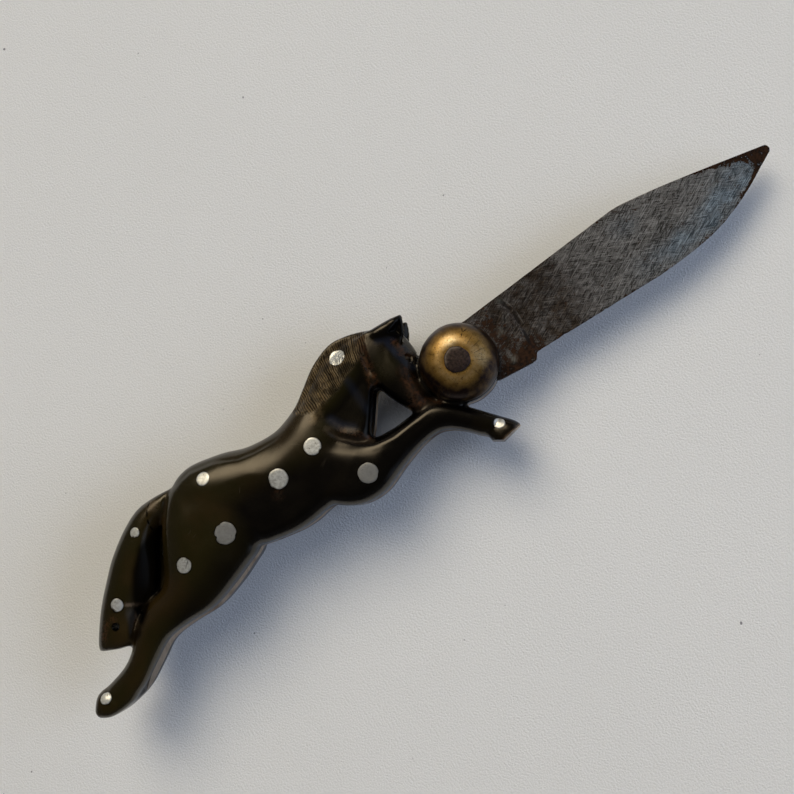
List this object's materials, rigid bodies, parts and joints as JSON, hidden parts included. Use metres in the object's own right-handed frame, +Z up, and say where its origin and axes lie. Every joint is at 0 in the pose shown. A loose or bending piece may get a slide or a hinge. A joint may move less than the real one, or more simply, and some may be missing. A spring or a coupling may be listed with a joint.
{
  "type": "pocket knife",
  "caption": "Folding knife: a clip-point blade turns between brass domes and folds into a slot in a dark horn handle carved as a leaping horse with inlaid metal dots.",
  "frame": {"origin": "middle of the open knife's footprint, at the lowest point of the left pin head it rests on", "axes": "+X along the open blade to its tip, +Y to the blade's spine and the horse's back, +Z up through the knife's thickness, out of the horse's right side"},
  "size_m": [0.1986, 0.0426, 0.0206],
  "materials": {
    "horn": "dark polished buffalo horn, worn and oiled",
    "blade_steel": "old carbon steel with scratches, grey patina and rust spots",
    "pin_iron": "dark hammered iron",
    "dome_brass": "worn brass, brown towards the rim",
    "dot_tin": "pale matt tin, lightly scratched"
  },
  "bodies": {
    "handle": {"horn_handle": "horn", "pivot_pin": "pin_iron", "right_dome": "dome_brass", "left_dome": "dome_brass", "right_mane_dot": "dot_tin", "right_shoulder_dot": "dot_tin", "right_barrel_dot": "dot_tin", "right_chest_dot": "dot_tin", "right_croup_dot": "dot_tin", "right_flank_dot": "dot_tin", "right_thigh_dot": "dot_tin", "right_upper_tail_dot": "dot_tin", "right_lower_tail_dot": "dot_tin", "right_hind_hoof_dot": "dot_tin", "right_fore_hoof_dot": "dot_tin", "left_mane_dot": "dot_tin", "left_shoulder_dot": "dot_tin", "left_barrel_dot": "dot_tin", "left_chest_dot": "dot_tin", "left_croup_dot": "dot_tin", "left_flank_dot": "dot_tin", "left_thigh_dot": "dot_tin", "left_upper_tail_dot": "dot_tin", "left_lower_tail_dot": "dot_tin", "left_hind_hoof_dot": "dot_tin", "left_fore_hoof_dot": "dot_tin"},
    "blade": {"blade": "blade_steel"}
  },
  "joints": [
    {"name": "blade_fold", "type": "hinge", "parent": "handle", "child": "blade", "pos_m": [0.01525, 0, 0.01032], "axis": [0, 0, -1], "range_deg": [0, 176]}
  ]
}
